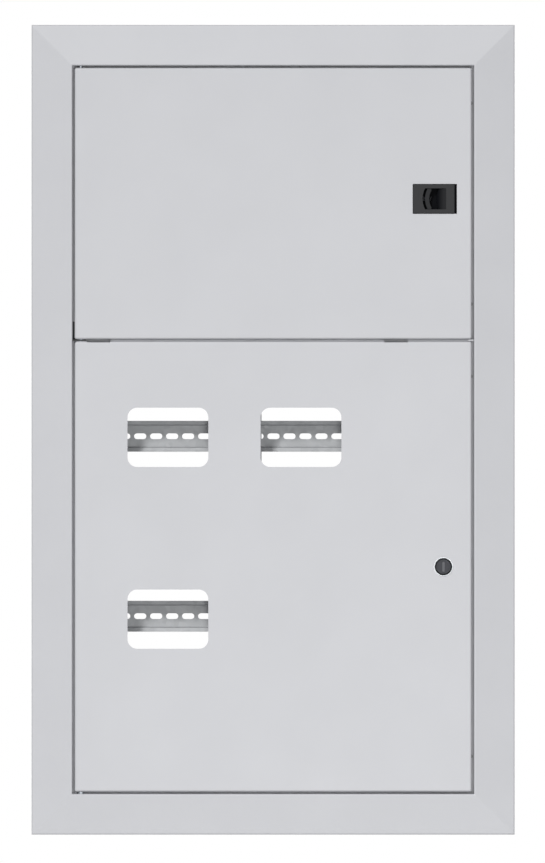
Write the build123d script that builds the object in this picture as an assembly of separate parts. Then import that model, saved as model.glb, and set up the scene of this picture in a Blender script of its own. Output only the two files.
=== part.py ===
from build123d import *
import os

os.makedirs("parts", exist_ok=True)

# Flush floor distribution board, in millimetres.
# X runs to the right, Y runs into the wall and Z runs up. The origin is the centre of
# the trim frame on the plane of the finished wall, which the trim's back lip meets.

# Overall sizes
trim_w = 550.0
trim_h = 922.0
trim_face_w = 46.5
trim_outer_depth = 9.0
face_depth = 14.0
body_depth = 150.0
trim_overhang = 25.0
flange_recess = 4.0

# Sheet thicknesses
trim_t = 1.2
door_t = 1.2
body_t = 1.5
bar_t = 1.5

# Flanges and lips
back_lip_w = 12.0
foot_lip_w = 12.0
rebate_w = 13.5
rear_flange_w = 25.0
door_return = 11.6

# Gaps
door_gap = 2.5
run_gap = 0.3
fit_gap = 0.1

# Doors
gap_z = 101.95
door_corner_r = 2.4
door_bend_r = 2.2
bend_r = 1.0
hinge_inset = 7.0
hinge_setback = 5.8
hinge_corner_r = 3.4
notch_w = 26.6
notch_depth = 1.3
notch_insets = (27.2, 86.1)

# Windows and rails
window_w = 92.0
window_h = 67.4
window_r = 11.0
window_inset = 106.25
window_drop = 109.35
rail_rise = (1.2, 2.25)
rail_shift = (4.2, 5.3)
rail_len = 146.0
rail_room = 5.5
window_spacing = (rail_len + rail_room, 207.0)
rail_h = 35.0
rail_channel = 25.0
rail_depth = 7.5
rail_t = 1.0
rail_front = 50.0
slot_pitch = 18.3
slot_len = 14.0
slot_w = 6.6
slot_count = 7
rail_fix_half = 58.0

# Uprights
side_upright_w = 24.0
side_upright_shift = 6.5
middle_upright_w = 52.0
upright_depth = 15.0
foot_len = 26.0
foot_hole_inset = 8.0

# Mullion, partition and mounting plate
mullion_h = 40.0
mullion_front = 8.5
tongue_w = 6.6
partition_drop = 20.0
pass_slot_len = 110.0
pass_slot_w = 40.0
pass_slot_x = 110.0
pass_slot_inset = 45.0
partition_rivet_insets = (30.0, 25.0)
plate_side_room = 58.5
plate_end_room = 40.5
plate_t = 2.0
plate_front = 105.0
plate_hole_insets = (10.0, 25.0)
plate_leg = 24.0
plate_tab = 20.0
plate_slot_len = 26.0
plate_slot_w = 6.0
plate_slot_margins = (50.0, 35.0)
plate_slot_rows = 4
plate_slot_cols = 4

# Hinge pins
pin_r = 2.0
pin_head_r = 3.5
pin_head_h = 1.5
pin_reach = 2.5
pin_run = 0.2
washer_r = 4.0
bracket_w = 15.0
bracket_h = 22.0
bracket_lead = 0.8

# Finger latch
latch_inset = 43.2
latch_drop = 149.2
bezel_w = 48.0
bezel_h = 34.0
bezel_r = 1.0
bezel_proud = 1.2
bezel_chamfer = 0.8
latch_wall = 1.5
groove_w = 2.4
groove_depth = 6.0
pocket_h = 24.0
pocket_left = -12.7
pocket_deep = 3.2
pocket_right = 14.2
pocket_floor = 14.5
ramp_depth = 5.0
lip_place = -9.8
lip_t = 4.6
lip_bow = 2.9
latch_travel = 9.0
bolt_reach = 7.0
bolt_t = 3.5
slider_h = 20.0
slider_t = 3.6
bolt_h = 15.0
spring_r = 2.0
spring_wire_r = 0.3
spring_turns = 6.0

# Cam lock
lock_inset = 32.1
lock_drop = 256.55
lock_head_r = 8.85
lock_head_h = 2.0
rosette_r = 10.9
rosette_h = 1.2
rosette_dish = 1.0
lock_barrel_r = 8.0
plug_r = 6.6
plug_sink = 0.4
key_w = 3.0
key_h = 11.8
key_depth = 5.0
shutter_sink = 0.6
shutter_t = 0.8
lock_nut_af = 22.0
lock_nut_t = 4.0
cam_reach = 30.0
cam_w = 14.0
cam_t = 2.5
cam_boss_r = 3.6

# Fasteners
stud_r = 2.5
stud_len = 14.0
stud_rises = (-0.8, -0.1, 0.8)
nut_af = 8.0
nut_t = 4.0
rivet_r = 2.4
rivet_head_r = 4.7
rivet_head_h = 1.2
rivet_tail_h = 2.0
screw_r = 2.5
screw_head_r = 4.4
screw_head_h = 3.0
screw_len = 12.0
screw_washer_r = 5.0
screw_washer_t = 1.0
earth_r = 4.0
earth_len = 28.0
earth_rise = 54.5
earth_nut_af = 13.0
earth_nut_t = 6.5
earth_washer_r = 8.0
earth_washer_t = 1.6
door_earth_r = 3.0
door_earth_len = 12.0
door_earth_af = 10.0
door_earth_nut_t = 5.0
door_earth_inset = 40.0

# Cable entries and niche fixing
entry_r = 20.0
entry_bore_r = 16.0
entry_spacing = 130.0
entry_y = 112.0
grommet_lip = 3.0
grommet_h = 3.0
niche_hole_r = 4.5
niche_spacing = 600.0
niche_y = 80.0
buffer_r = 4.0
buffer_inset = 40.0

# Places worked out from the sizes above
half_w = trim_w / 2
half_h = trim_h / 2
open_w = half_w - trim_face_w
open_h = half_h - trim_face_w
door_w = open_w - door_gap
door_front = -face_depth
door_back = door_front + door_return
panel_back = door_front + door_t
upper_z = (gap_z + door_gap / 2, open_h - door_gap)
lower_z = (door_gap - open_h, gap_z - door_gap / 2)
flange_y = flange_recess
flange_back = flange_y + body_t
body_w = half_w - trim_overhang
body_h = half_h - trim_overhang
inner_w = body_w - body_t
inner_h = body_h - body_t
rebate_x = open_w - rebate_w
rebate_z = open_h - rebate_w
stud_x = open_w + trim_t + (foot_lip_w - trim_t) / 2
stud_z = open_h + trim_t + (foot_lip_w - trim_t) / 2
window_xs = (window_inset - door_w, window_inset + window_spacing[0] - door_w)
window_zs = (lower_z[1] - window_drop, lower_z[1] - window_drop - window_spacing[1])
notch_xs = (notch_insets[0] - door_w, door_w - notch_insets[1])
latch_x = door_w - latch_inset
latch_z = upper_z[1] - latch_drop
lip_x = latch_x + lip_place
lock_x = door_w - lock_inset
lock_z = lower_z[1] - lock_drop
pin_x = hinge_inset - door_w
pin_y = door_front + hinge_setback
bar_z = (gap_z - bar_t / 2, gap_z + bar_t / 2)
mullion_y = flange_y - bar_t
mullion_x = open_w - run_gap
bracket_x = bracket_w - mullion_x
plate_w = 2 * (inner_w - plate_side_room)
plate_h = inner_h - bar_z[1] - 2 * plate_end_room
plate_z = (inner_h + bar_z[1]) / 2
earth_z = earth_rise - inner_h
upright_y = rail_front + rail_depth
foot_hole_y = upright_y + foot_len - foot_hole_inset
rail_xs = tuple(x + shift for x, shift in zip(window_xs, rail_shift))
rail_zs = (window_zs[0] + rail_rise[0], window_zs[1] + rail_rise[1])
rail_places = (
    ("rail_top_left", rail_xs[0], rail_zs[0]),
    ("rail_top_right", rail_xs[1], rail_zs[0]),
    ("rail_bottom", rail_xs[0], rail_zs[1]),
)
fix_left = rail_xs[0] - rail_fix_half
fix_inner = (rail_xs[0] + rail_fix_half, rail_xs[1] - rail_fix_half)
fix_right = rail_xs[1] + rail_fix_half
upright_places = (
    ("upright_left", fix_left - side_upright_shift, side_upright_w),
    ("upright_middle", sum(fix_inner) / 2, middle_upright_w),
    ("upright_right", fix_right + side_upright_shift, side_upright_w),
)


# Small builders


def block(x, y, z):
    """A block between two corners, each argument being a low and a high value."""
    centre = Pos(sum(x) / 2, sum(y) / 2, sum(z) / 2)
    return centre * Box(x[1] - x[0], y[1] - y[0], z[1] - z[0])


def rod_x(r, x, y, z):
    """A round rod along X."""
    return Pos(sum(x) / 2, y, z) * Rot(0, 90, 0) * Cylinder(r, x[1] - x[0])


def rod_y(r, x, y, z):
    """A round rod along Y."""
    return Pos(x, sum(y) / 2, z) * Rot(90, 0, 0) * Cylinder(r, y[1] - y[0])


def rod_z(r, x, y, z):
    """A round rod along Z."""
    return Pos(x, y, sum(z) / 2) * Cylinder(r, z[1] - z[0])


def prism_y(sketch, y):
    """A sketch drawn in X and Z, carried from y[0] to y[1]."""
    return extrude(Plane.XZ.offset(-y[1]) * sketch, y[1] - y[0])


def prism_x(points, x):
    """An outline of (y, z) points carried from x[0] to x[1]."""
    outline = make_face(Polyline(*points, close=True))
    return extrude(Plane.YZ.offset(x[0]) * outline, x[1] - x[0])


def hex_y(af, hole_r, x, y, z):
    """A hexagon nut along Y, af across flats."""
    nut = RegularPolygon(af / 2, 6, major_radius=False) - Circle(hole_r)
    return prism_y(Pos(x, z) * nut, y)


def rivet(grip):
    """A blind rivet along +Z, its head below zero and its tail above the grip."""
    profile = Polyline(
        (0, -rivet_head_h),
        (rivet_head_r * 0.6, -rivet_head_h),
        (rivet_head_r, 0),
        (rivet_r, 0),
        (rivet_r, grip),
        (rivet_r * 1.4, grip),
        (0, grip + rivet_tail_h),
        close=True,
    )
    return revolve(Plane.XZ * make_face(profile), Axis.Z)


def group(pieces):
    """Several separate solids in one node."""
    return Compound(children=list(pieces))


def save(name, shape):
    export_step(shape, f"parts/{name}.step")


# Body and trim


def fixing_row():
    """Centres of the trim's studs, as (x, z) round the foot lip."""
    side = [(s * stud_x, rise * open_h) for s in (-1, 1) for rise in stud_rises]
    return side + [(0, s * stud_z) for s in (-1, 1)]


def mullion_rivet_spots():
    """Centres of the rivets that hold the mullion on the rebate flange."""
    spot_x = (rebate_x + mullion_x) / 2
    low = gap_z - mullion_h * 0.3
    high = gap_z + mullion_h * 0.3
    return [(-spot_x, low), (spot_x, low), (spot_x, high)]


def bracket_spot():
    """Centre of the rivet that holds the middle hinge bracket."""
    return (-(rebate_x + mullion_x) / 2, bar_z[0] + bracket_h - 5.0)


def entry_xs():
    return [k * entry_spacing for k in (-1, 0, 1)]


def body_shell():
    """Tub with a rebate flange in front and a return flange behind, open both ways."""
    y = (flange_y, body_depth)
    shell = block((-body_w, body_w), y, (-body_h, body_h))
    shell = fillet(shell.edges().filter_by(Axis.Y), bend_r + body_t)
    hollow = block((-inner_w, inner_w), (flange_back, body_depth - body_t), (-inner_h, inner_h))
    shell -= fillet(hollow.edges().filter_by(Axis.Y), bend_r)
    shell -= block((-rebate_x, rebate_x), (flange_y - 1, flange_back + 1), (-rebate_z, rebate_z))
    back_x = inner_w - rear_flange_w
    back_z = inner_h - rear_flange_w
    rear = prism_y(RectangleRounded(2 * back_x, 2 * back_z, 6.0), (body_depth - 5, body_depth + 1))
    shell -= rear
    for x, z in fixing_row():
        shell -= rod_y(stud_r + run_gap, x, (flange_y - 1, flange_back + 1), z)
    for x, z in mullion_rivet_spots() + [bracket_spot()]:
        shell -= rod_y(rivet_r + fit_gap, x, (flange_y - 1, flange_back + 1), z)
    for x in entry_xs():
        for s in (-1, 1):
            shell -= rod_z(entry_r, x, entry_y, sorted((s * (inner_h - 1), s * (body_h + 1))))
    for s in (-1, 1):
        wall = sorted((s * (inner_w - 1), s * (body_w + 1)))
        for z in (-niche_spacing / 2, niche_spacing / 2):
            shell -= rod_x(niche_hole_r, wall, niche_y, z)
        for y_spot, z in partition_rivet_spots():
            shell -= rod_x(rivet_r + fit_gap, wall, y_spot, z)
        for y_spot, z in bracket_rivet_spots():
            shell -= rod_x(rivet_r + fit_gap, wall, y_spot, z)
    for _, x, _ in upright_places:
        foot = (-body_h - 1, 1 - inner_h)
        shell -= rod_z(rivet_r + fit_gap, x, foot_hole_y, foot)
    return shell


def trim_section():
    """Folded section of the trim, drawn as inward distance and depth."""
    u = trim_face_w
    slope = (face_depth - trim_outer_depth) / trim_face_w
    inside = trim_outer_depth - trim_t + slope * trim_t
    foot = flange_y - trim_t
    points = (
        (0, 0),
        (0, -trim_outer_depth),
        (u, -face_depth),
        (u, flange_y),
        (u - foot_lip_w, flange_y),
        (u - foot_lip_w, foot),
        (u - trim_t, foot),
        (u - trim_t, trim_t - face_depth + slope * trim_t),
        (trim_t, -inside),
        (trim_t, -trim_t),
        (back_lip_w, -trim_t),
        (back_lip_w, 0),
    )
    return make_face(Polyline(*points, close=True))


def trim_side(length, across):
    """One straight side of the trim with mitred ends, its outer edge at x = -across."""
    section = Plane(origin=(-across, 0, -length), x_dir=(1, 0, 0), z_dir=(0, 0, 1)) * trim_section()
    bar = extrude(section, 2 * length)
    outline = Polyline(
        (-across, -length),
        (-across, length),
        (-across + foot_lip_w + trim_face_w, length - foot_lip_w - trim_face_w),
        (-across + foot_lip_w + trim_face_w, foot_lip_w + trim_face_w - length),
        close=True,
    )
    return bar & prism_y(make_face(outline), (-face_depth - 1, flange_y + 1))


def trim_frame():
    """Four mitred sides welded into one frame, with holes for the two hinge pins."""
    side = trim_side(half_h, half_w)
    end = Rot(0, 90, 0) * trim_side(half_w, half_h)
    frame = side + Rot(0, 180, 0) * side + end + Rot(0, 180, 0) * end
    for s in (-1, 1):
        wall = sorted((s * (open_h - 1), s * (open_h + trim_t + 1)))
        frame -= rod_z(pin_r + fit_gap / 2, pin_x, pin_y, wall)
    return frame


def trim_studs():
    y = (flange_y, flange_y + stud_len)
    return group(rod_y(stud_r, x, y, z) for x, z in fixing_row())


def trim_nuts():
    y = (flange_back, flange_back + nut_t)
    return group(hex_y(nut_af, stud_r + fit_gap, x, y, z) for x, z in fixing_row())


# Mullion, partition and hinge bracket


def mullion():
    """T-section bar: its rib closes the gap between the doors, its flanges back them."""
    z = (gap_z - mullion_h / 2, gap_z + mullion_h / 2)
    bar = block((-mullion_x, mullion_x), (mullion_y, flange_y), z)
    rib_left = notch_xs[0] + notch_w / 2
    bar += block((rib_left, mullion_x), (-mullion_front, mullion_y), bar_z)
    tongue = (mullion_x - tongue_w, mullion_x)
    bar += block(tongue, (door_front + fit_gap, mullion_y), bar_z)
    notch = (notch_xs[1] - notch_w / 2, notch_xs[1] + notch_w / 2)
    bar -= block(notch, (-mullion_front - 1, -run_gap), (bar_z[0] - 1, bar_z[1] + 1))
    corner = (-mullion_x - 1, bracket_x + run_gap)
    bar -= block(corner, (mullion_y - 1, flange_y + 1), (bar_z[0] - run_gap, z[1] + 1))
    for x, spot in mullion_rivet_spots():
        bar -= rod_y(rivet_r + fit_gap, x, (mullion_y - 1, flange_y + 1), spot)
    return bar


def mullion_rivets():
    grip = bar_t + body_t
    rivets = [Pos(x, mullion_y, z) * Rot(-90, 0, 0) * rivet(grip) for x, z in mullion_rivet_spots()]
    return group(rivets)


def middle_hinge_bracket():
    """Folded bracket: one leg on the rebate flange, one tab forward with the pin hole."""
    x = (-mullion_x, bracket_x)
    leg = block(x, (mullion_y, flange_y), (bar_z[0], bar_z[0] + bracket_h))
    tab = block(x, (pin_y - pin_r - bracket_lead, flange_y), bar_z)
    bracket = leg + tab
    spot = bracket_spot()
    bracket -= rod_y(rivet_r + fit_gap, spot[0], (mullion_y - 1, flange_y + 1), spot[1])
    return bracket - rod_z(pin_r + fit_gap / 2, pin_x, pin_y, (bar_z[0] - 1, bar_z[1] + 1))


def bracket_rivet():
    spot = bracket_spot()
    return Pos(spot[0], mullion_y, spot[1]) * Rot(-90, 0, 0) * rivet(bar_t + body_t)


def partition_rivet_spots():
    """Rivets through the partition's side flanges, as (y, z)."""
    z = bar_z[1] - partition_drop / 2
    return [(partition_rivet_insets[0], z), (body_depth - partition_rivet_insets[1], z)]


def partition():
    """Shelf with down-turned flanges in front, behind and at the sides."""
    y = (flange_back + run_gap, body_depth - body_t - run_gap)
    z = (bar_z[1] - partition_drop, bar_z[1])
    shelf = block((-inner_w, inner_w), y, z)
    under = (-inner_w + bar_t, inner_w - bar_t)
    shelf -= block(under, (y[0] - 1, y[1] - bar_t), (z[0] - 1, z[1] - bar_t))
    front_x = rebate_x - run_gap
    shelf += block((-front_x, front_x), (flange_y, flange_y + bar_t), z)
    shelf += block((-front_x, front_x), (flange_y, y[0] + bar_t), (z[1] - bar_t, z[1]))
    slot = SlotOverall(pass_slot_len, pass_slot_w)
    for s in (-1, 1):
        hole = Pos(s * pass_slot_x, body_depth - pass_slot_inset, z[0]) * slot
        shelf -= extrude(hole, partition_drop + 1)
        wall = sorted((s * (inner_w - bar_t - 1), s * (inner_w + 1)))
        for y_spot, z_spot in partition_rivet_spots():
            shelf -= rod_x(rivet_r + fit_gap, wall, y_spot, z_spot)
    for _, x, _ in upright_places:
        hole_z = (z[1] - bar_t - 1, z[1] + 1)
        shelf -= rod_z(rivet_r + fit_gap, x, foot_hole_y, hole_z)
    return shelf


def wall_rivets(spots, leg_t):
    """Rivets from inside each side wall, head on the leg and tail outside the wall."""
    rivets = []
    for y, z in spots:
        rivets.append(Pos(inner_w - leg_t, y, z) * Rot(0, 90, 0) * rivet(leg_t + body_t))
        rivets.append(Pos(leg_t - inner_w, y, z) * Rot(0, -90, 0) * rivet(leg_t + body_t))
    return group(rivets)


# Hinge pins and washers


def hinge_pins():
    """Top and bottom pins with heads inside the trim, and the plain middle pin."""
    reach = door_gap + door_t + pin_reach
    pins = []
    for s in (-1, 1):
        wall = s * (open_h + trim_t)
        shank = rod_z(pin_r, pin_x, pin_y, sorted((wall, s * (open_h - reach))))
        head = rod_z(pin_head_r, pin_x, pin_y, sorted((wall, wall + s * pin_head_h)))
        pins.append(shank + head)
    middle = (lower_z[1] - door_t - pin_reach, upper_z[0] + door_t + pin_reach)
    pins.append(rod_z(pin_r, pin_x, pin_y, middle))
    return group(pins)


def hinge_washers():
    """One washer under each door, round its lower pin."""
    rings = []
    for low, high in ((-open_h, lower_z[0] - run_gap), (bar_z[1], upper_z[0] - fit_gap)):
        ring = rod_z(washer_r, pin_x, pin_y, (low, high))
        rings.append(ring - rod_z(pin_r + fit_gap / 2, pin_x, pin_y, (low - 1, high + 1)))
    return group(rings)


# Doors


def is_clipped(point, top, radius):
    """True at the two ends of the arc that rounds a door's top corner on the hinge side."""
    return point.X < radius + 0.5 - door_w and point.Z > top - radius - 0.5


def door_pan(z, top_hinge_r):
    """Folded pan: a flat face with a return all round, and holes for its two pins."""
    pan = block((-door_w, door_w), (door_front, door_back), z)
    corners = pan.edges().filter_by(Axis.Y).sort_by(lambda e: e.center().X - e.center().Z)
    pan = fillet(corners[0], top_hinge_r)
    corners = pan.edges().filter_by(Axis.Y).filter_by(GeomType.LINE)
    corners = corners.filter_by(lambda e: not is_clipped(e.center(), z[1], top_hinge_r))
    pan = fillet(corners, door_corner_r)
    pan = fillet(pan.faces().sort_by(Axis.Y)[0].edges(), door_bend_r)
    inside_x = door_w - door_t
    inside = (z[0] + door_t, z[1] - door_t)
    hollow = block((-inside_x, inside_x), (panel_back, door_back + 1), inside)
    pan -= fillet(hollow.edges().filter_by(Axis.Y), door_corner_r - door_t / 2)
    for end in z:
        pan -= rod_z(pin_r + pin_run, pin_x, pin_y, (end - door_t - 1, end + door_t + 1))
    return pan


def upper_door():
    """Plain pan with the stepped cut-out for the finger latch and its side groove."""
    through = (door_front - 1, panel_back + 1)
    cut = Rectangle(bezel_w - 2 * latch_wall, bezel_h - 2 * latch_wall)
    pan = door_pan(upper_z, door_corner_r) - prism_y(Pos(latch_x, latch_z) * cut, through)
    side = (latch_x + bezel_w / 2 - latch_wall - 1, latch_x + bezel_w / 2 + groove_w)
    return pan - block(side, through, (latch_z - bezel_h / 2, latch_z + bezel_h / 2))


def lower_door():
    """Pan with three windows, the lock's hole and two reliefs in its top return."""
    pan = door_pan(lower_z, hinge_corner_r)
    window = RectangleRounded(window_w, window_h, window_r)
    centres = [(window_xs[0], window_zs[0]), (window_xs[1], window_zs[0]), (window_xs[0], window_zs[1])]
    through = (door_front - 1, panel_back + 1)
    for x, z in centres:
        pan -= prism_y(Pos(x, z) * window, through)
    pan -= rod_y(lock_barrel_r + fit_gap, lock_x, through, lock_z)
    for x in notch_xs:
        relief = (x - notch_w / 2, x + notch_w / 2)
        top = (lower_z[1] - notch_depth, lower_z[1] + 1)
        pan -= block(relief, (door_front - 1, door_back + 1), top)
    return pan


def door_earth(z):
    """Weld stud and nut on the inside of a door, near its hinge side."""
    x = door_earth_inset - door_w
    spot = z[0] + door_earth_inset
    stud = rod_y(door_earth_r, x, (panel_back, panel_back + door_earth_len), spot)
    seat = (panel_back, panel_back + door_earth_nut_t)
    nut = hex_y(door_earth_af, door_earth_r + fit_gap, x, seat, spot)
    return stud, nut


# Finger latch

floor_y = door_front + pocket_floor
floor_back = floor_y + latch_wall
slider_front = floor_back + run_gap
slider_back = slider_front + slider_t
hook_front = slider_back + run_gap
bolt_front = flange_back + run_gap + fit_gap
bolt_back = bolt_front + bolt_t
bolt_tip = rebate_x + bolt_reach
case_w = bezel_w / 2 - latch_wall - fit_gap
case_h = bezel_h / 2 - latch_wall - fit_gap
post_x = latch_x - 16.0
post_t = 2.0
spring_x = (post_x + post_t + run_gap, post_x + post_t + 2 * run_gap + 21.0)
slider_slot_half = spring_r + spring_wire_r + run_gap
spring_y = slider_front + spring_r + spring_wire_r


def lip_curve(x, thickness, height):
    """A crescent wall, bowed to the left, as a sketch in X and Z about the latch's centre."""
    outer = ThreePointArc((x + lip_bow, -height / 2), (x, 0), (x + lip_bow, height / 2))
    inner_x = x + thickness
    inner = ThreePointArc((inner_x + lip_bow, height / 2), (inner_x, 0), (inner_x + lip_bow, -height / 2))
    top = Line((x + lip_bow, height / 2), (inner_x + lip_bow, height / 2))
    bottom = Line((inner_x + lip_bow, -height / 2), (x + lip_bow, -height / 2))
    return Pos(0, latch_z) * make_face(Wire([outer, top, inner, bottom]))


def latch_housing():
    """Bezel, pocket with an arched left edge and a ramp, and the slider's guides behind."""
    front = door_front - bezel_proud
    bezel = prism_y(Pos(latch_x, latch_z) * RectangleRounded(bezel_w, bezel_h, bezel_r), (front, door_front))
    bezel = chamfer(bezel.faces().sort_by(Axis.Y)[0].edges(), bezel_chamfer)
    case_z = (latch_z - case_h, latch_z + case_h)
    case = block((latch_x - case_w, latch_x + case_w), (door_front, floor_back), case_z)
    groove_end = latch_x + bezel_w / 2 + groove_w - fit_gap
    base_z = (latch_z - bezel_h / 2 + fit_gap, latch_z + bezel_h / 2 - fit_gap)
    base = block((latch_x + case_w - 1, groove_end), (door_front + groove_depth, floor_back), base_z)
    housing = bezel + case + base
    room_x = latch_x - case_w + latch_wall
    room_z = (latch_z - pocket_h / 2, latch_z + pocket_h / 2)
    deep = latch_x + pocket_deep
    shallow = latch_x + pocket_right
    housing -= block((room_x, deep), (panel_back - door_t / 2, floor_y), room_z)
    pit = lip_curve(latch_x + pocket_left, pocket_deep - pocket_left, pocket_h)
    housing -= prism_y(pit, (front - 1, floor_y))
    ramp = Polyline(
        (deep - 1, front - 1),
        (deep - 1, front + ramp_depth),
        (deep, front + ramp_depth),
        (shallow, front),
        (shallow, front - 1),
        close=True,
    )
    ramp_face = Plane(origin=(0, 0, room_z[0]), x_dir=(1, 0, 0), z_dir=(0, 0, 1)) * make_face(ramp)
    housing -= extrude(ramp_face, pocket_h)
    travel = (lip_x - latch_travel - run_gap, lip_x + lip_t + lip_bow + run_gap)
    stem = slider_h / 2 + run_gap
    slot_z = (latch_z - stem, latch_z + stem)
    housing -= block(travel, (floor_y - 1, floor_back + 1), slot_z)
    for s in (-1, 1):
        near = latch_z + s * stem
        far = latch_z + s * case_h
        cheek_x = (latch_x - case_w, latch_x + case_w)
        cheek = block(cheek_x, (floor_back, hook_front + latch_wall), sorted((near, far)))
        hook = block(cheek_x, (hook_front, hook_front + latch_wall), sorted((near - s * 1.7, near)))
        housing += cheek + hook
    bridge_z = (latch_z - stem, latch_z + stem)
    bridge = block((latch_x - case_w, latch_x - case_w + 3.0), (hook_front, hook_front + latch_wall), bridge_z)
    arm_z = (latch_z - slider_slot_half + run_gap, latch_z + slider_slot_half - run_gap)
    arm = block((latch_x - case_w, post_x + post_t), (hook_front, hook_front + latch_wall), arm_z)
    post = block((post_x, post_x + post_t), (slider_front + fit_gap, hook_front + latch_wall), arm_z)
    return housing + bridge + arm + post


def latch_slider():
    """Finger lip, carrier plate with a window for the spring, and the bevelled bolt."""
    lip_front = panel_back - door_t / 2 + run_gap
    lip = prism_y(lip_curve(lip_x, lip_t, pocket_h - 2 * run_gap), (lip_front, floor_y - run_gap))
    lip += prism_y(lip_curve(lip_x, lip_t, slider_h), (lip_front, slider_back))
    plate_x = (post_x - 3.0, rebate_x - latch_travel)
    plate_z = (latch_z - slider_h / 2, latch_z + slider_h / 2)
    plate = block(plate_x, (slider_front, slider_back), plate_z)
    bolt_z = (latch_z - bolt_h / 2, latch_z + bolt_h / 2)
    bolt = block((plate_x[1] - 16.0, bolt_tip), (slider_front, bolt_back), bolt_z)
    above = block((plate_x[1], bolt_tip + 1), (slider_front - 1, bolt_front), bolt_z)
    bolt -= above
    bevel = Polyline(
        (bolt_tip - bolt_t * 1.4, bolt_back + 0.1),
        (bolt_tip + 0.1, bolt_front + bolt_t * 0.25),
        (bolt_tip + 0.1, bolt_back + 0.1),
        close=True,
    )
    bevel_face = Plane(origin=(0, 0, bolt_z[0] - 1), x_dir=(1, 0, 0), z_dir=(0, 0, 1)) * make_face(bevel)
    bolt -= extrude(bevel_face, bolt_h + 2)
    slider = lip + plate + bolt
    window_x = (post_x - run_gap, spring_x[1] + run_gap)
    window_z = (latch_z - slider_slot_half, latch_z + slider_slot_half)
    return slider - block(window_x, (slider_front - 0.01, bolt_back + 1), window_z)


def latch_spring():
    """Compression spring between the housing's post and the slider."""
    length = spring_x[1] - spring_x[0] - 2 * spring_wire_r
    coil = Helix(length / spring_turns, length, spring_r)
    wire = sweep(Plane(coil @ 0, z_dir=coil % 0) * RegularPolygon(spring_wire_r, 6), coil)
    return Pos(spring_x[0] + spring_wire_r, spring_y, latch_z) * Rot(0, 90, 0) * wire


# Cam lock

lock_back = flange_back + run_gap
cam_y = (lock_back + run_gap, lock_back + run_gap + cam_t)


def lock_body():
    """Round head and barrel with the plug's bore."""
    head_y = (door_front - lock_head_h, door_front)
    head = rod_y(lock_head_r, lock_x, head_y, lock_z)
    head = chamfer(head.faces().sort_by(Axis.Y)[0].edges(), lock_head_h * 0.35)
    barrel = rod_y(lock_barrel_r, lock_x, (door_front, lock_back), lock_z)
    bore = rod_y(plug_r + fit_gap, lock_x, (head_y[0] - 1, lock_back + 1), lock_z)
    return head + barrel - bore


def lock_rosette():
    """Ring round the lock's head, seated on the door, whose face is dished towards the head."""
    y = (door_front - rosette_h, door_front)
    ring = rod_y(rosette_r, lock_x, y, lock_z)
    ring -= rod_y(lock_head_r + fit_gap / 2, lock_x, (y[0] - 1, y[1] + 1), lock_z)
    front = ring.faces().sort_by(Axis.Y)[0].edges().sort_by(lambda e: e.length)
    return chamfer(front[0], rosette_dish)


def lock_nut():
    y = (panel_back, panel_back + lock_nut_t)
    return hex_y(lock_nut_af, lock_barrel_r + fit_gap, lock_x, y, lock_z)


def lock_plug():
    """Plug with the key slot in front and a boss for the cam behind."""
    front = door_front - lock_head_h + plug_sink
    plug = rod_y(plug_r, lock_x, (front, cam_y[0]), lock_z)
    plug += rod_y(cam_boss_r, lock_x, (cam_y[0], cam_y[1]), lock_z)
    slot = SlotOverall(key_h, key_w, rotation=90)
    plug -= prism_y(Pos(lock_x, lock_z) * slot, (front - 1, front + key_depth))
    return plug


def key_shutter():
    """Dust shutter inside the key slot."""
    front = door_front - lock_head_h + plug_sink + shutter_sink
    plate = SlotOverall(key_h - 2 * fit_gap, key_w - 2 * fit_gap, rotation=90)
    return prism_y(Pos(lock_x, lock_z) * plate, (front, front + shutter_t))


def lock_cam():
    """Flat cam, round at the boss and cranked down at rest."""
    arm = Rectangle(cam_w, cam_reach - cam_w / 4, align=(Align.CENTER, Align.MAX))
    tip = Pos(0, cam_w / 4 - cam_reach) * SlotOverall(cam_w, cam_w / 2)
    outline = arm + Circle(cam_w / 2) + tip - Circle(cam_boss_r + fit_gap)
    return prism_y(Pos(lock_x, lock_z) * outline, cam_y)


def cam_screw():
    head = (cam_y[1], cam_y[1] + screw_head_h)
    screw = rod_y(screw_head_r, lock_x, head, lock_z)
    return chamfer(screw.faces().sort_by(Axis.Y)[-1].edges(), 0.6)


# Rails and uprights


def rail(x, z):
    """Top-hat rail with a row of slots, its channel's back on the uprights."""
    a = rail_channel / 2
    edge = rail_h / 2
    f = rail_front
    b = upright_y
    points = (
        (f, a), (f, edge), (f + rail_t, edge), (f + rail_t, a + rail_t),
        (b, a + rail_t), (b, -a - rail_t), (f + rail_t, -a - rail_t),
        (f + rail_t, -edge), (f, -edge), (f, -a), (b - rail_t, -a), (b - rail_t, a),
    )
    bar = prism_x(points, (-rail_len / 2, rail_len / 2))
    slot = SlotOverall(slot_len, slot_w)
    for k in range(slot_count):
        place = (k - (slot_count - 1) / 2) * slot_pitch
        bar -= prism_y(Pos(place, 0) * slot, (b - rail_t - 1, b + 1))
    return Pos(x, 0, z) * bar


def rail_fixings():
    """Every screw's place, as (x, z)."""
    spots = []
    for _, x, z in rail_places:
        spots += [(x - rail_fix_half, z), (x + rail_fix_half, z)]
    return spots


def rail_screws():
    seat = upright_y - rail_t - screw_washer_t
    screws = []
    for x, z in rail_fixings():
        head = rod_y(screw_head_r, x, (seat - screw_head_h, seat), z)
        head = chamfer(head.faces().sort_by(Axis.Y)[0].edges(), 1.0)
        cross = Rectangle(4.0, 0.9) + Rectangle(0.9, 4.0)
        head -= prism_y(Pos(x, z) * cross, (seat - screw_head_h - 1, seat - screw_head_h + 1.4))
        screws.append(head + rod_y(screw_r, x, (seat, seat + screw_len), z))
    return group(screws)


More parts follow.
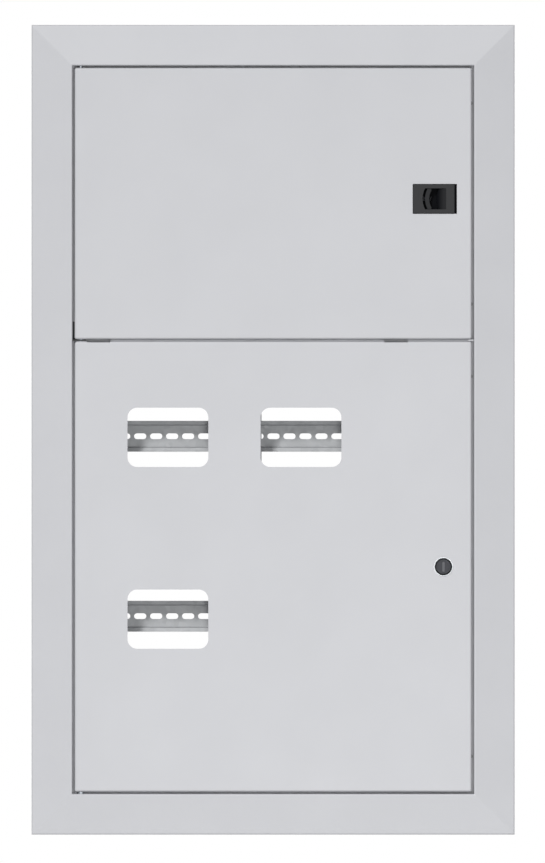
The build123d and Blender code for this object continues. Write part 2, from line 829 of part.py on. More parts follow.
def rail_washers():
    seat = upright_y - rail_t
    rings = []
    for x, z in rail_fixings():
        ring = rod_y(screw_washer_r, x, (seat - screw_washer_t, seat), z)
        rings.append(ring - rod_y(screw_r + fit_gap, x, (seat - 2, seat + 1), z))
    return group(rings)


def upright(x, width):
    """Folded channel with a foot at each end, from the bottom wall to the partition."""
    z = (-inner_h, bar_z[0])
    half = width / 2
    bar = block((x - half, x + half), (upright_y, upright_y + upright_depth), z)
    inside = (x - half + bar_t, x + half - bar_t)
    behind = (upright_y + bar_t, upright_y + upright_depth + 1)
    bar -= block(inside, behind, (z[0] - 1, z[1] + 1))
    for low, high in ((z[0], z[0] + bar_t), (z[1] - bar_t, z[1])):
        foot = block(inside, (upright_y, upright_y + foot_len), (low, high))
        hole = rod_z(rivet_r + fit_gap, x, foot_hole_y, (low - 1, high + 1))
        bar += foot
        bar -= hole
    for spot_x, spot_z in rail_fixings():
        if abs(spot_x - x) < half:
            bar -= rod_y(screw_r + fit_gap, spot_x, (upright_y - 1, upright_y + bar_t + 1), spot_z)
    return bar


def upright_rivets():
    """Rivets through both feet of each upright."""
    y = foot_hole_y
    grip = bar_t + body_t
    rivets = []
    for _, x, _ in upright_places:
        rivets.append(Pos(x, y, bar_t - inner_h) * Rot(180, 0, 0) * rivet(grip))
        rivets.append(Pos(x, y, bar_z[0] - bar_t) * rivet(grip))
    return group(rivets)


# Mounting plate of the upper compartment

plate_back = plate_front + plate_t
plate_hole_x = plate_w / 2 - plate_hole_insets[0]
plate_hole_z = plate_h / 2 - plate_hole_insets[1]


def bracket_rivet_spots():
    """Rivets through the plate brackets' legs, as (y, z)."""
    return [(plate_back + plate_leg / 2, plate_z + s * plate_hole_z) for s in (-1, 1)]


def plate_spots():
    return [(sx * plate_hole_x, plate_z + sz * plate_hole_z) for sx in (-1, 1) for sz in (-1, 1)]


def mounting_plate():
    """Galvanised plate with rows of fixing slots."""
    sheet = Pos(0, plate_z) * RectangleRounded(plate_w, plate_h, 4.0)
    plate = prism_y(sheet, (plate_front, plate_back))
    for x, z in plate_spots():
        plate -= rod_y(screw_r + fit_gap, x, (plate_front - 1, plate_back + 1), z)
    slot = SlotOverall(plate_slot_len, plate_slot_w)
    step_x = (plate_w - 2 * plate_slot_margins[0]) / (plate_slot_cols - 1)
    step_z = (plate_h - 2 * plate_slot_margins[1]) / (plate_slot_rows - 1)
    for i in range(plate_slot_cols):
        for j in range(plate_slot_rows):
            x = (i - (plate_slot_cols - 1) / 2) * step_x
            z = plate_z + (j - (plate_slot_rows - 1) / 2) * step_z
            plate -= prism_y(Pos(x, z) * slot, (plate_front - 1, plate_back + 1))
    return plate


def plate_bracket(side):
    """Folded bracket from a side wall to the back of the plate."""
    outer = side * inner_w
    inner = side * (plate_w / 2 - plate_tab)
    z = (plate_z - plate_h / 2, plate_z + plate_h / 2)
    shelf = block(sorted((inner, outer)), (plate_back, plate_back + bar_t), z)
    leg = block(sorted((outer - side * bar_t, outer)), (plate_back, plate_back + plate_leg), z)
    bracket = shelf + leg
    for y, spot in bracket_rivet_spots():
        wall = sorted((outer - side * (bar_t + 1), outer + side))
        bracket -= rod_x(rivet_r + fit_gap, wall, y, spot)
    for x, spot in plate_spots():
        bracket -= rod_y(screw_r + fit_gap, x, (plate_back - 1, plate_back + bar_t + 1), spot)
    return bracket


def plate_screws():
    screws = []
    for x, z in plate_spots():
        head = rod_y(screw_head_r, x, (plate_front - screw_head_h, plate_front), z)
        head = chamfer(head.faces().sort_by(Axis.Y)[0].edges(), 1.0)
        screws.append(head + rod_y(screw_r, x, (plate_front, plate_front + screw_len), z))
    return group(screws)


# Cable entries, buffers and earthing


def grommet():
    """Rubber grommet whose groove holds the edge of an entry hole, along Z from the wall."""
    lip_r = entry_r + grommet_lip
    points = (
        (entry_bore_r, -grommet_h),
        (lip_r, -grommet_h),
        (lip_r, 0),
        (entry_r, 0),
        (entry_r, body_t),
        (lip_r, body_t),
        (lip_r, body_t + grommet_h),
        (entry_bore_r, body_t + grommet_h),
    )
    return revolve(Plane.XZ * make_face(Polyline(*points, close=True)), Axis.Z)


def cable_grommets():
    pieces = []
    for x in entry_xs():
        pieces.append(Pos(x, entry_y, inner_h) * grommet())
        pieces.append(Pos(x, entry_y, -body_h) * grommet())
    return group(pieces)


def door_buffers():
    """Rubber stops on the rebate flange behind the doors' free edges."""
    x = door_w - buffer_r + 1.0
    spots = (upper_z[0] + buffer_inset, upper_z[1] - buffer_inset)
    spots += (lower_z[0] + buffer_inset, lower_z[1] - buffer_inset)
    return group(rod_y(buffer_r, x, (door_back + run_gap, flange_y), z) for z in spots)


earth_y = body_depth / 2
earth_seat = inner_w


def earth_stack():
    """Stud on the right-hand wall with washer, nut, washer and nut, as x distances."""
    first = earth_seat - earth_washer_t
    second = first - earth_nut_t
    third = second - earth_washer_t
    return first, second, third, third - earth_nut_t


def earth_stud():
    return rod_x(earth_r, (earth_seat - earth_len, earth_seat), earth_y, earth_z)


def earth_washers():
    first, second, third, _ = earth_stack()
    rings = []
    for x in ((first, earth_seat), (third, second)):
        ring = rod_x(earth_washer_r, x, earth_y, earth_z)
        rings.append(ring - rod_x(earth_r + fit_gap, (x[0] - 1, x[1] + 1), earth_y, earth_z))
    return group(rings)


def earth_nuts():
    first, second, third, fourth = earth_stack()
    nut = RegularPolygon(earth_nut_af / 2, 6, major_radius=False) - Circle(earth_r + fit_gap)
    nuts = []
    for low, high in ((second, first), (fourth, third)):
        nuts.append(extrude(Plane.YZ.offset(low) * (Pos(earth_y, earth_z) * nut), high - low))
    return group(nuts)


# Write every piece

save("body_shell", body_shell())
save("trim_frame", trim_frame())
save("trim_studs", trim_studs())
save("trim_nuts", trim_nuts())
save("mullion", mullion())
save("mullion_rivets", mullion_rivets())
save("middle_hinge_bracket", middle_hinge_bracket())
save("bracket_rivet", bracket_rivet())
save("partition", partition())
save("partition_rivets", wall_rivets(partition_rivet_spots(), bar_t))
save("hinge_pins", hinge_pins())
save("hinge_washers", hinge_washers())
save("upper_door", upper_door())
save("lower_door", lower_door())
for door, place in (("upper_door", upper_z), ("lower_door", lower_z)):
    stud, nut = door_earth(place)
    save(f"{door}_earth_stud", stud)
    save(f"{door}_earth_nut", nut)
save("latch_housing", latch_housing())
save("latch_slider", latch_slider())
save("latch_spring", latch_spring())
save("lock_body", lock_body())
save("lock_rosette", lock_rosette())
save("lock_nut", lock_nut())
save("lock_plug", lock_plug())
save("key_shutter", key_shutter())
save("lock_cam", lock_cam())
save("cam_screw", cam_screw())
for name, x, z in rail_places:
    save(name, rail(x, z))
save("rail_screws", rail_screws())
save("rail_washers", rail_washers())
for name, x, width in upright_places:
    save(name, upright(x, width))
save("upright_rivets", upright_rivets())
save("mounting_plate", mounting_plate())
save("plate_bracket_left", plate_bracket(-1))
save("plate_bracket_right", plate_bracket(1))
save("plate_bracket_rivets", wall_rivets(bracket_rivet_spots(), bar_t))
save("plate_screws", plate_screws())
save("cable_grommets", cable_grommets())
save("door_buffers", door_buffers())
save("earth_stud", earth_stud())
save("earth_washers", earth_washers())
save("earth_nuts", earth_nuts())
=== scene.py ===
"""Looks of the floor distribution board, in metres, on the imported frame.

X runs to the right, Y into the wall and Z up. The origin is the trim's centre on the wall.
"""

import bmesh
import bpy
import numpy as np
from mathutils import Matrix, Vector


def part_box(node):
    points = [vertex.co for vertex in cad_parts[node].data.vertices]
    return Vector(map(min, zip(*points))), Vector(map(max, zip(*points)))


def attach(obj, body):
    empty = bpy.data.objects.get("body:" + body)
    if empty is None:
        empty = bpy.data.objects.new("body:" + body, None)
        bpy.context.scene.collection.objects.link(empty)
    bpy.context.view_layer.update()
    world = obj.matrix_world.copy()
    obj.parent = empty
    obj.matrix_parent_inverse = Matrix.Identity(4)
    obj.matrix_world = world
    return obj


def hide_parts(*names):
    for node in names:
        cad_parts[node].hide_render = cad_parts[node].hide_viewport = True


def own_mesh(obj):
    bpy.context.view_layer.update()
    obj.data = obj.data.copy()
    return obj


MM = 0.001

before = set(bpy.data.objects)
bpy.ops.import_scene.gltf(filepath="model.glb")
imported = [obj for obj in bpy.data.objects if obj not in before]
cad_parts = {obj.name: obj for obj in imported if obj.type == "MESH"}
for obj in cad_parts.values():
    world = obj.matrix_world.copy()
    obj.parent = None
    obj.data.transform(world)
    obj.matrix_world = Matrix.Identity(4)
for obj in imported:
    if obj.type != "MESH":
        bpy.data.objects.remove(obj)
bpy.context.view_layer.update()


# Colours and nodes


def linear(code):
    """An sRGB hex code as linear RGBA: c / 12.92 when dark, else ((c + 0.055) / 1.055) ** 2.4."""
    srgb = np.array([int(code[k : k + 2], 16) for k in (1, 3, 5)]) / 255
    light = np.where(srgb <= 0.04045, srgb / 12.92, ((srgb + 0.055) / 1.055) ** 2.4)
    return (*light.tolist(), 1.0)


def add(tree, kind, inputs=(), **settings):
    """Adds a node, sets its settings, and sets or links each input by its name or number."""
    node = tree.nodes.new(kind)
    for key, value in settings.items():
        setattr(node, key, value)
    for key, value in dict(inputs).items():
        if isinstance(value, bpy.types.NodeSocket):
            tree.links.new(value, node.inputs[key])
        else:
            node.inputs[key].default_value = value
    return node


def new_material(name, inputs=()):
    """A material with its shader's plain inputs set, its output and Object coordinates."""
    made = bpy.data.materials.new(name)
    made.use_nodes = True
    tree = made.node_tree
    tree.nodes.clear()
    shader = add(tree, "ShaderNodeBsdfPrincipled", inputs)
    add(tree, "ShaderNodeOutputMaterial", {"Surface": shader.outputs["BSDF"]})
    place = add(tree, "ShaderNodeTexCoord").outputs["Object"]
    return made, tree, shader, place


def per_mm(size):
    """Texture scale at which one noise feature or cell is that many millimetres."""
    return 1.0 / (size * MM)


def mottled(name, size, detail, colours, metallic, roughness):
    """A material whose tone wanders between two colours, in noise that many millimetres coarse."""
    made, tree, shader, place = new_material(name, {"Metallic": metallic, "Roughness": roughness})
    noise = add(
        tree,
        "ShaderNodeTexNoise",
        {"Vector": place, "Scale": per_mm(size), "Detail": detail},
    )
    shades = add(tree, "ShaderNodeValToRGB", {"Fac": noise.outputs["Fac"]})
    for stop, code in zip(shades.color_ramp.elements, colours):
        stop.color = linear(code)
    tree.links.new(shades.outputs["Color"], shader.inputs["Base Color"])
    return made


# Materials


def powder_coat():
    """Polyester powder coat on sheet steel, sprayed and baked: satin, with a fine orange peel."""
    made, tree, shader, place = new_material("grey_powder_coat", {"IOR": 1.5})
    peel = add(tree, "ShaderNodeTexNoise", {"Vector": place, "Scale": per_mm(1.6), "Detail": 2.0})
    cloud = add(tree, "ShaderNodeTexNoise", {"Vector": place, "Scale": per_mm(90.0), "Detail": 3.0})
    shades = add(tree, "ShaderNodeValToRGB", {"Fac": cloud.outputs["Fac"]})
    dark, light = shades.color_ramp.elements
    dark.position, dark.color = 0.3, linear("#CFD0D4")
    light.position, light.color = 0.7, linear("#D2D3D7")
    gloss = add(
        tree,
        "ShaderNodeMapRange",
        {"Value": peel.outputs["Fac"], "To Min": 0.36, "To Max": 0.42},
    )
    bump = add(
        tree,
        "ShaderNodeBump",
        {"Height": peel.outputs["Fac"], "Strength": 0.12, "Distance": 0.1 * MM},
    )
    tree.links.new(shades.outputs["Color"], shader.inputs["Base Color"])
    tree.links.new(gloss.outputs["Result"], shader.inputs["Roughness"])
    tree.links.new(bump.outputs["Normal"], shader.inputs["Normal"])
    return made


def galvanised():
    """Hot-dip galvanised strip: soft grey spangle whose crystals differ a little in tone. Its
    oxide has dulled the zinc, which hardly mirrors any more, so metallic stays low."""
    made, tree, shader, place = new_material("galvanised_steel", {"Metallic": 0.08})
    spangle = add(tree, "ShaderNodeTexVoronoi", {"Vector": place, "Scale": per_mm(7.0)})
    fine = add(tree, "ShaderNodeTexNoise", {"Vector": place, "Scale": per_mm(1.2), "Detail": 4.0})
    tone = add(tree, "ShaderNodeSeparateColor", {"Color": spangle.outputs["Color"]})
    shades = add(tree, "ShaderNodeValToRGB", {"Fac": tone.outputs["Red"]})
    for stop, code in zip(shades.color_ramp.elements, ("#A9ABAD", "#B1B3B5")):
        stop.color = linear(code)
    gloss = add(
        tree,
        "ShaderNodeMapRange",
        {"Value": tone.outputs["Green"], "To Min": 0.42, "To Max": 0.52},
    )
    bump = add(
        tree,
        "ShaderNodeBump",
        {"Height": fine.outputs["Fac"], "Strength": 0.15, "Distance": 0.05 * MM},
    )
    tree.links.new(shades.outputs["Color"], shader.inputs["Base Color"])
    tree.links.new(gloss.outputs["Result"], shader.inputs["Roughness"])
    tree.links.new(bump.outputs["Normal"], shader.inputs["Normal"])
    return made


def zinc_plate():
    """Bright electroplated zinc on turned and stamped steel: cool, with faint drawn streaks."""
    made, tree, shader, place = new_material("zinc_plated_steel", {"Metallic": 1.0})
    streak = add(tree, "ShaderNodeTexNoise", {"Vector": place, "Scale": per_mm(0.9), "Detail": 3.0})
    shades = add(tree, "ShaderNodeValToRGB", {"Fac": streak.outputs["Fac"]})
    for stop, code in zip(shades.color_ramp.elements, ("#83878C", "#969A9F")):
        stop.color = linear(code)
    gloss = add(
        tree,
        "ShaderNodeMapRange",
        {"Value": streak.outputs["Fac"], "To Min": 0.22, "To Max": 0.36},
    )
    tree.links.new(shades.outputs["Color"], shader.inputs["Base Color"])
    tree.links.new(gloss.outputs["Result"], shader.inputs["Roughness"])
    return made


def painted_slot_shade():
    """Zinc plate given the darker grey it shows down in the key slot: painted shade, with hardly
    any shine left.
    """
    return mottled("zinc_plated_steel_painted_shade", 0.7, 4.0, ("#5E5F63", "#717276"), 0.3, 0.7)


def painted_gap_shade():
    """Dark, dull grey for the middle hinge bracket in place of its slot's finish: painted shade,
    standing in for the shadow in the gap between the doors.
    """
    return mottled("painted_gap_shade_steel", 0.8, 3.0, ("#3A3B3D", "#454648"), 0.0, 0.7)


def dark_casting():
    """Zinc die casting with a dark plated finish: smooth and slightly cloudy."""
    return mottled("dark_zinc_casting", 2.5, 3.0, ("#2A2B2E", "#323336"), 0.85, 0.42)


def bright_nickel():
    """Nickel-plated brass, brushed before plating: warm grey with a soft shine."""
    return mottled("bright_nickel", 1.5, 3.0, ("#797B7D", "#818385"), 1.0, 0.3)


def black_plastic():
    """Injection-moulded ABS from a spark-eroded mould: near black, with a satin face. Its gloss
    (specular level) fades from y = -14 to -11 mm, so the finger pocket and other deep parts turn
    darker: painted shade."""
    made, tree, shader, place = new_material("black_abs", {"Roughness": 0.42})
    grain = add(tree, "ShaderNodeTexNoise", {"Vector": place, "Scale": per_mm(0.5), "Detail": 2.0})
    shades = add(tree, "ShaderNodeValToRGB", {"Fac": grain.outputs["Fac"]})
    for stop, code in zip(shades.color_ramp.elements, ("#0D0E11", "#121317")):
        stop.color = linear(code)
    bump = add(
        tree,
        "ShaderNodeBump",
        {"Height": grain.outputs["Fac"], "Strength": 0.3, "Distance": 0.05 * MM},
    )
    # Painted shade: specular falls off with depth behind the door face, darkening recesses such as
    # the finger pocket.
    depth = add(tree, "ShaderNodeSeparateXYZ", {"Vector": place})
    gloss = add(
        tree,
        "ShaderNodeMapRange",
        {
            "Value": depth.outputs["Y"],
            "From Min": -14.0 * MM,
            "From Max": -11.0 * MM,
            "To Min": 0.25,
            "To Max": 0.02,
        },
    )
    tree.links.new(shades.outputs["Color"], shader.inputs["Base Color"])
    tree.links.new(bump.outputs["Normal"], shader.inputs["Normal"])
    tree.links.new(gloss.outputs["Result"], shader.inputs["Specular IOR Level"])
    return made


def rubber():
    """Moulded EPDM rubber: nearly black and dull."""
    made, tree, shader, place = new_material("black_rubber", {"Roughness": 0.78})
    grain = add(tree, "ShaderNodeTexNoise", {"Vector": place, "Scale": per_mm(0.8), "Detail": 4.0})
    shades = add(tree, "ShaderNodeValToRGB", {"Fac": grain.outputs["Fac"]})
    for stop, code in zip(shades.color_ramp.elements, ("#1C1C1D", "#242425")):
        stop.color = linear(code)
    bump = add(
        tree,
        "ShaderNodeBump",
        {"Height": grain.outputs["Fac"], "Strength": 0.3, "Distance": 0.05 * MM},
    )
    tree.links.new(shades.outputs["Color"], shader.inputs["Base Color"])
    tree.links.new(bump.outputs["Normal"], shader.inputs["Normal"])
    return made


finishes = {
    "grey_powder_coat": powder_coat(),
    "galvanised_steel": galvanised(),
    "zinc_plated_steel": zinc_plate(),
    "black_abs": black_plastic(),
    "black_rubber": rubber(),
    "dark_zinc_casting": dark_casting(),
    "bright_nickel": bright_nickel(),
}

# Two nodes get darker finishes than their slot: painted shade in the key slot and in the gap
# between the doors.
painted_shade_finish = {"key_shutter": painted_slot_shade(), "middle_hinge_bracket": painted_gap_shade()}
for name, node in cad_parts.items():
    for place in node.material_slots:
        slot = next(slot for slot in finishes if slot in place.material.name)
        place.material = painted_shade_finish.get(name, finishes[slot])


# Meshes from grids, in millimetres until a piece is made

WELD_REACH = 0.002
SHARP_ANGLE = 32


def quads(rows, cols, wrap_rows, wrap_cols):
    """Corners of every cell (i, j) of a grid: (i, j), (i, j + 1), (i + 1, j + 1), (i + 1, j)."""
    i, j = np.meshgrid(
        np.arange(rows if wrap_rows else rows - 1),
        np.arange(cols if wrap_cols else cols - 1),
        indexing="ij",
    )
    below, beside = (i + 1) % rows, (j + 1) % cols
    cells = [i * cols + j, i * cols + beside, below * cols + beside, below * cols + j]
    return np.stack(cells, axis=-1).reshape(-1, 4)


def make_piece(name, patches, finish, body, stands_for):
    """Welds patches, each (grid of mm points, wrap rows, wrap columns), into one smooth mesh."""
    points, faces, start = [], [], 0
    for grid, wrap_rows, wrap_cols in patches:
        rows, cols = grid.shape[:2]
        points.append(grid.reshape(-1, 3) * MM)
        faces.append(start + quads(rows, cols, wrap_rows, wrap_cols))
        start += rows * cols
    mesh = bpy.data.meshes.new(name)
    mesh.from_pydata(np.concatenate(points).tolist(), [], np.concatenate(faces).tolist())
    welded = bmesh.new()
    welded.from_mesh(mesh)
    bmesh.ops.remove_doubles(welded, verts=welded.verts, dist=WELD_REACH * MM)
    bmesh.ops.recalc_face_normals(welded, faces=welded.faces)
    welded.to_mesh(mesh)
    welded.free()
    mesh.shade_smooth()
    mesh.set_sharp_from_angle(angle=np.radians(SHARP_ANGLE))
    mesh.materials.append(finishes[finish])
    made = bpy.data.objects.new(name, mesh)
    bpy.context.scene.collection.objects.link(made)
    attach(made, body)
    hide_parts(*stands_for)
    return made


# Folded sheet


def unit(v):
    """Vectors scaled to length one: v / |v|."""
    return v / np.linalg.norm(v, axis=-1, keepdims=True)


def folded(corners, radii, steps=5, guard=0.4):
    """A polyline whose corners are arcs that touch both sides: an arc starts r * tan(turn / 2)
    before its corner, and a guard point beside each end keeps the flats flat when shaded."""
    path = [corners[:1]]
    for before, corner, after, radius in zip(corners, corners[1:], corners[2:], radii):
        into, onward = unit(corner - before), unit(after - corner)
        turn = np.arccos(np.clip(into @ onward, -1, 1))
        reach = radius * np.tan(turn / 2)
        inward = unit(onward - into)
        centre = corner + inward * radius / np.cos(turn / 2)
        from_centre = unit(corner - reach * into - centre)
        angle = np.linspace(0, turn, steps + 1)[:, None]
        arc = centre + radius * (np.cos(angle) * from_centre + np.sin(angle) * into)
        path += [[corner - (reach + guard) * into], arc, [corner + (reach + guard) * onward]]
    return np.concatenate(path + [corners[-1:]])


def sheet_section(corners, thickness, inside_r):
    """Both sides of a folded sheet. The second side lies to the left of the first: each corner
    moves by t * (n1 + n2) / (1 + n1 . n2), where n1 and n2 are the left normals beside it."""
    corners = np.array(corners, float)
    along = unit(np.diff(corners, axis=0))
    left = np.stack([-along[:, 1], along[:, 0]], axis=-1)
    n1 = np.concatenate([left[:1], left])
    n2 = np.concatenate([left, left[-1:]])
    other = corners + thickness * (n1 + n2) / (1 + (n1 * n2).sum(-1, keepdims=True))
    turn = along[:-1, 0] * along[1:, 1] - along[:-1, 1] * along[1:, 0]
    near = np.where(turn > 0, inside_r + thickness, inside_r)
    far = np.where(turn > 0, inside_r, inside_r + thickness)
    return folded(corners, near), folded(other, far)


def sheet_patches(near, far, wrap):
    """A sheet between two grids of points, closed along its first and last row."""
    edges = [(np.stack([near[k], far[k]]), False, wrap) for k in (0, -1)]
    return [(near, False, wrap), (far, False, wrap)] + edges


# Trim frame: widths run inward from its outer edge, and depths from the wall's face

TRIM_T = 1.2
TRIM_BEND_R = 0.4
BACK_LIP = 12.0
EDGE_DEPTH = -9.0
FACE_WIDTH = 46.5
FACE_DEPTH = -14.0
FOOT_DEPTH = 4.0
FOOT_END = 34.5
SEAM_SINK = 0.12
SEAM_MARGIN = 3.0
SIDE_STOPS = np.array([0, 0.8, 3.0, 250.0, 497.0, 499.2]) / 500.0
SEAM_SHARE = np.array([1.0, 0.25, 0, 0, 0, 0.25])

low, high = (np.array(v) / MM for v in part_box("trim_frame"))
half_w, half_h = high[0], high[2]


def trim_side(section, seam):
    """A section of (inward distance, y) points carried round the trim's rectangle. A corner lies
    on the mitre, and the weld there sinks by the seam's depth at the face."""
    inward, y = section[:, 0, None], section[:, 1, None]
    run, edge = 2 * SIDE_STOPS - 1, np.ones_like(SIDE_STOPS)
    sx = np.concatenate([run, edge, -run, -edge])
    sz = np.concatenate([-edge, run, edge, -run])
    face = (inward > SEAM_MARGIN) & (inward < FACE_WIDTH - SEAM_MARGIN)
    depth = y + seam * np.tile(SEAM_SHARE, 4) * face
    return np.stack([sx * (half_w - inward), depth, sz * (half_h - inward)], axis=-1)


front, behind = sheet_section(
    [
        (BACK_LIP, 0.0),
        (0.0, 0.0),
        (0.0, EDGE_DEPTH),
        (FACE_WIDTH, FACE_DEPTH),
        (FACE_WIDTH, FOOT_DEPTH),
        (FOOT_END, FOOT_DEPTH),
    ],
    TRIM_T,
    TRIM_BEND_R,
)
make_piece(
    "trim_frame_folded",
    sheet_patches(trim_side(front, SEAM_SINK), trim_side(behind, 0.0), True),
    "grey_powder_coat",
    "root",
    ["trim_frame"],
)


# Rails

RAIL_T = 1.0
RAIL_BEND_R = 0.3
CHANNEL_HALF = 12.5
LIP_LEAN = 0.9
SLOT_PITCH = 18.3
SLOT_COUNT = 7
SLOT_HALF = np.array([7.0, 3.3])
SLOT_EASE = 0.15
WEB_HALF = 8.0
CELL_STEPS = (13, 9)
RING_SHARE = 0.4
END_GUARD = 0.3
NEAR = 0.001


def spread(low, high, count):
    """Count values from low to high, closer together near both ends: a cosine from 0 to pi."""
    return (low + high) / 2 - (high - low) / 2 * np.cos(np.linspace(0, np.pi, count))


def round_end(box, half, radius, grow=0.0):
    """Points on a rectangle moved to the nearest place on a rounded one: core + r * direction."""
    core = np.clip(box, -(half - radius), half - radius)
    return core + (radius + grow) * unit(box - core + 1e-12)


def loop(a, b):
    """The closed run of (a, b) points round a rectangle, from two lists of side values."""
    ones = np.ones_like
    sides = [
        np.stack([a[:-1], b[0] * ones(a[:-1])], -1),
        np.stack([a[-1] * ones(b[:-1]), b[:-1]], -1),
        np.stack([a[:0:-1], b[-1] * ones(a[:0:-1])], -1),
        np.stack([a[0] * ones(b[:0:-1]), b[:0:-1]], -1),
    ]
    return np.concatenate(sides)


def slotted_cell(cx, cz, front, back):
    """The web round one slot: a ring from the cell's edge to the slot on each side of the sheet,
    joined by the slot's wall, whose edges are eased."""
    across, up = CELL_STEPS
    outer = loop(spread(-SLOT_PITCH / 2, SLOT_PITCH / 2, across), spread(-WEB_HALF, WEB_HALF, up))
    box = loop(*(spread(-half, half, count) for half, count in zip(SLOT_HALF, CELL_STEPS)))
    slot = round_end(box, SLOT_HALF, SLOT_HALF[1])
    eased = round_end(box, SLOT_HALF, SLOT_HALF[1], SLOT_EASE)
    middle = outer * RING_SHARE + eased * (1 - RING_SHARE)
    levels = [(outer, front), (middle, front), (eased, front)]
    levels += [(slot, front + SLOT_EASE), (slot, back - SLOT_EASE)]
    levels += [(eased, back), (middle, back), (outer, back)]
    rings = [np.stack([cx + p[:, 0], 0 * p[:, 0] + y, cz + p[:, 1]], -1) for p, y in levels]
    return np.stack(rings), False, True


def rail(node):
    """Top-hat rail: two folded lips carried along X, and a web of slotted cells between them. The
    rolled lips lean forward at their free edge."""
    low, high = (np.array(v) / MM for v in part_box(node))
    cx, cz = (low[0] + high[0]) / 2, (low[2] + high[2]) / 2
    front, back = low[1], high[1]
    web = back - RAIL_T
    lip = (high[2] - low[2]) / 2
    corners = [(-lip, front), (-CHANNEL_HALF, front + LIP_LEAN)]
    corners += [(-CHANNEL_HALF, web), (-WEB_HALF, web)]
    near, far = sheet_section(corners, RAIL_T, RAIL_BEND_R)
    first = -SLOT_PITCH * SLOT_COUNT / 2
    starts = first + SLOT_PITCH * np.arange(SLOT_COUNT)
    cells = [spread(start, start + SLOT_PITCH, CELL_STEPS[0]) for start in starts]
    ends = np.array([low[0] - cx, low[0] - cx + END_GUARD])
    x = np.unique(np.round(np.concatenate([*cells, ends, -ends]), 6))
    patches = []
    for flip in (1, -1):
        both = []
        for side in (near, far):
            z, y = flip * side[:, 0, None] + 0 * x, side[:, 1, None] + 0 * x
            both.append(np.stack([cx + x + 0 * z, y, cz + z], -1))
        patches += [(both[0], False, False), (both[1], False, False)]
        patches.append((np.stack([both[0][0], both[1][0]]), False, False))
        patches += [(np.stack([both[0][:, k], both[1][:, k]]), False, False) for k in (0, -1)]
    z = cz + spread(-WEB_HALF, WEB_HALF, CELL_STEPS[1])[:, None]
    for end in (x[x < first + NEAR], x[x > -first - NEAR]):
        flat = [np.stack(np.broadcast_arrays(cx + end, y, z), -1) for y in (web, back)]
        patches += [(side, False, False) for side in flat]
        tip = 0 if end[0] < 0 else -1
        patches.append((np.stack([flat[0][:, tip], flat[1][:, tip]]), False, False))
    patches += [slotted_cell(cx + start + SLOT_PITCH / 2, cz, web, back) for start in starts]
    make_piece(f"{node}_slotted", patches, "galvanised_steel", "root", [node])


for node in ("rail_top_left", "rail_top_right", "rail_bottom"):
    rail(node)


# Latch spring

WIRE_R = 0.35
WIRE_SIDES = 10
SPRING_TURNS = 9
TURN_STEPS = 28
CLOSED_PITCH = 0.2


def coil(x, centre, radius):
    """A wire along x = x0 + (x1 - x0) * s(a), where s grows a fifth as fast in the first and last
    turn, which lie closed, and the wire's centre turns round the axis at the radius."""
    turn = np.linspace(0, SPRING_TURNS, SPRING_TURNS * TURN_STEPS + 1)
    rate = np.where((turn < 1) | (turn > SPRING_TURNS - 1), CLOSED_PITCH, 1.0)
    s = np.concatenate([[0], np.cumsum((rate[1:] + rate[:-1]) / 2)])
    angle = 2 * np.pi * turn
    radial = np.stack([0 * angle, np.cos(angle), np.sin(angle)], -1)
    line = radius * radial
    line[:, 0] = x[0] + (x[1] - x[0]) * s / s[-1]
    across = unit(np.cross(unit(np.gradient(line, axis=0)), radial))
    round_wire = np.linspace(0, 2 * np.pi, WIRE_SIDES, endpoint=False)[None, :, None]
    ring = np.cos(round_wire) * radial[:, None] + np.sin(round_wire) * across[:, None]
    tube = line[:, None] + WIRE_R * ring
    tips = [np.repeat(line[k : k + 1, None], WIRE_SIDES, axis=1) for k in (0, -1)]
    return np.concatenate([tips[0], tube, tips[1]]) + centre


low, high = (np.array(v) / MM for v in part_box("latch_spring"))
centre = np.array([0, (low[1] + high[1]) / 2, (low[2] + high[2]) / 2])
wire = coil((low[0] + WIRE_R, high[0] - WIRE_R), centre, (high[2] - low[2]) / 2 - WIRE_R)
spring = make_piece(
    "latch_spring_coil",
    [(wire, False, True)],
    "zinc_plated_steel",
    "upper_door",
    ["latch_spring"],
)
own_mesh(spring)


# Floor, light and camera

FLOOR_X = (-1.6, 1.6)
FLOOR_Y = (-1.5, 1.2)
FLOOR_Z = -1.2
FLOOR_LIFT = 0.5
WORLD_LIGHT = 0.18


def plane(name, x, y, z):
    """A flat quad between two x and two y values at height z."""
    corners = [(x[0], y[0], z), (x[1], y[0], z), (x[1], y[1], z), (x[0], y[1], z)]
    mesh = bpy.data.meshes.new(name)
    mesh.from_pydata(corners, [], [(0, 1, 2, 3)])
    made = bpy.data.objects.new(name, mesh)
    bpy.context.scene.collection.objects.link(made)
    return made


def floor_paint():
    """Matt off-white paint, which the camera sees a step paler so that it joins the background.
    The object's shadow stays on it."""
    made, tree, shader, place = new_material(
        "floor_paint", {"Roughness": 0.8, "Emission Color": (1.0, 1.0, 1.0, 1.0)}
    )
    cloud = add(tree, "ShaderNodeTexNoise", {"Vector": place, "Scale": per_mm(400.0)})
    shades = add(tree, "ShaderNodeValToRGB", {"Fac": cloud.outputs["Fac"]})
    for stop, code in zip(shades.color_ramp.elements, ("#E6E6E6", "#EAEAEA")):
        stop.color = linear(code)
    seen = add(tree, "ShaderNodeLightPath").outputs["Is Camera Ray"]
    lift = add(tree, "ShaderNodeMath", {0: seen, 1: FLOOR_LIFT}, operation="MULTIPLY")
    tree.links.new(shades.outputs["Color"], shader.inputs["Base Color"])
    tree.links.new(lift.outputs[0], shader.inputs["Emission Strength"])
    return made


# The board hangs in a wall, so the floor lies well below it.
floor = plane("floor", FLOOR_X, FLOOR_Y, FLOOR_Z)
floor.data.materials.append(floor_paint())


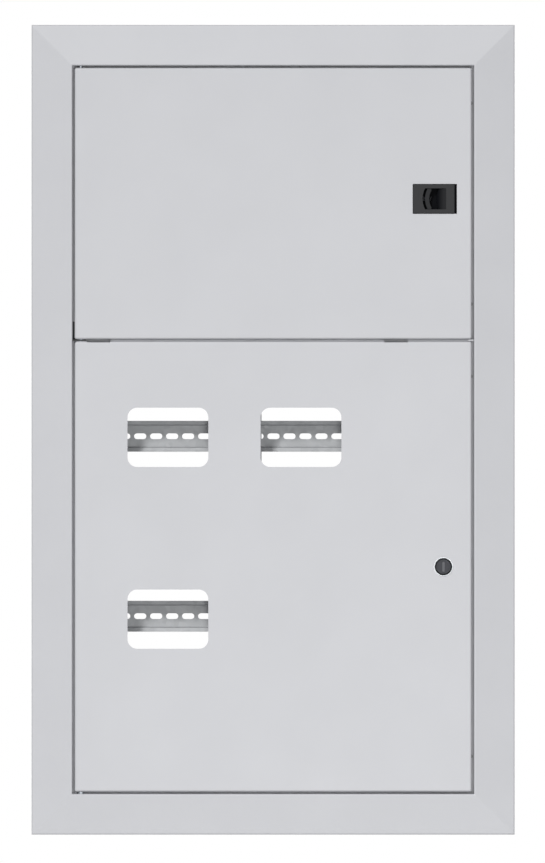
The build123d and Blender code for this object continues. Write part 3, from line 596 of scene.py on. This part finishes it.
def lamp(name, place, aim, size, watts):
    """A rectangular soft lamp that faces a point."""
    light = bpy.data.lights.new(name, "AREA")
    light.shape = "RECTANGLE"
    light.size, light.size_y = size
    light.energy = watts
    made = bpy.data.objects.new(name, light)
    made.location = place
    made.rotation_euler = (Vector(aim) - Vector(place)).to_track_quat("-Z", "Y").to_euler()
    bpy.context.scene.collection.objects.link(made)


def sun(name, direction, energy, degrees):
    """Even light that travels along a direction, with soft-edged shadows."""
    made = bpy.data.objects.new(name, bpy.data.lights.new(name, "SUN"))
    made.rotation_euler = Vector(direction).to_track_quat("-Z", "Y").to_euler()
    made.data.energy = energy
    made.data.angle = np.radians(degrees)
    bpy.context.scene.collection.objects.link(made)


sun("key", (0.20, 0.80, -0.39), 1.58, 8)
sun("back", (-0.45, -0.80, -0.22), 0.6, 25)
lamp("front", (0.28, -6.5, -0.85), (0, 0, 0), (0.8, 3.2), 94.0)

# Seen directly, mirrored or through glass the world is white. It lights the object far less.
world = bpy.data.worlds.new("studio")
bpy.context.scene.world = world
world.use_nodes = True
sky = world.node_tree
sky.nodes.clear()
rays = add(sky, "ShaderNodeLightPath").outputs
seen = rays["Is Camera Ray"]
for kind in ("Is Glossy Ray", "Is Transmission Ray"):
    seen = add(sky, "ShaderNodeMath", {0: seen, 1: rays[kind]}, operation="MAXIMUM").outputs[0]
strength = add(
    sky, "ShaderNodeMapRange", {"Value": seen, "To Min": WORLD_LIGHT, "To Max": 1.0}
)
glow = add(
    sky,
    "ShaderNodeBackground",
    {"Color": (1.0, 1.0, 1.0, 1.0), "Strength": strength.outputs["Result"]},
)
add(sky, "ShaderNodeOutputWorld", {"Surface": glow.outputs[0]})

# The photograph is 545 by 863 pixels and shows 982.3 mm of height at the doors' face. The
# camera stands straight before the picture's centre, so far off that the view is nearly flat.
VIEW_HEIGHT = 982.3 * MM
VIEW_CENTRE = (-0.7 * MM, -14.0 * MM, -2.0 * MM)
DISTANCE = 12.0
SENSOR_HEIGHT = 36.0
camera = bpy.data.objects.new("camera", bpy.data.cameras.new("camera"))
bpy.context.scene.collection.objects.link(camera)
camera.location = Vector(VIEW_CENTRE) - Vector((0, DISTANCE, 0))
camera.rotation_euler = (np.pi / 2, 0, 0)
camera.data.sensor_fit = "VERTICAL"
camera.data.sensor_height = SENSOR_HEIGHT
camera.data.lens = SENSOR_HEIGHT * DISTANCE / VIEW_HEIGHT
camera.data.clip_end = 100.0
bpy.context.scene.camera = camera
bpy.context.scene.view_settings.view_transform = "Standard"
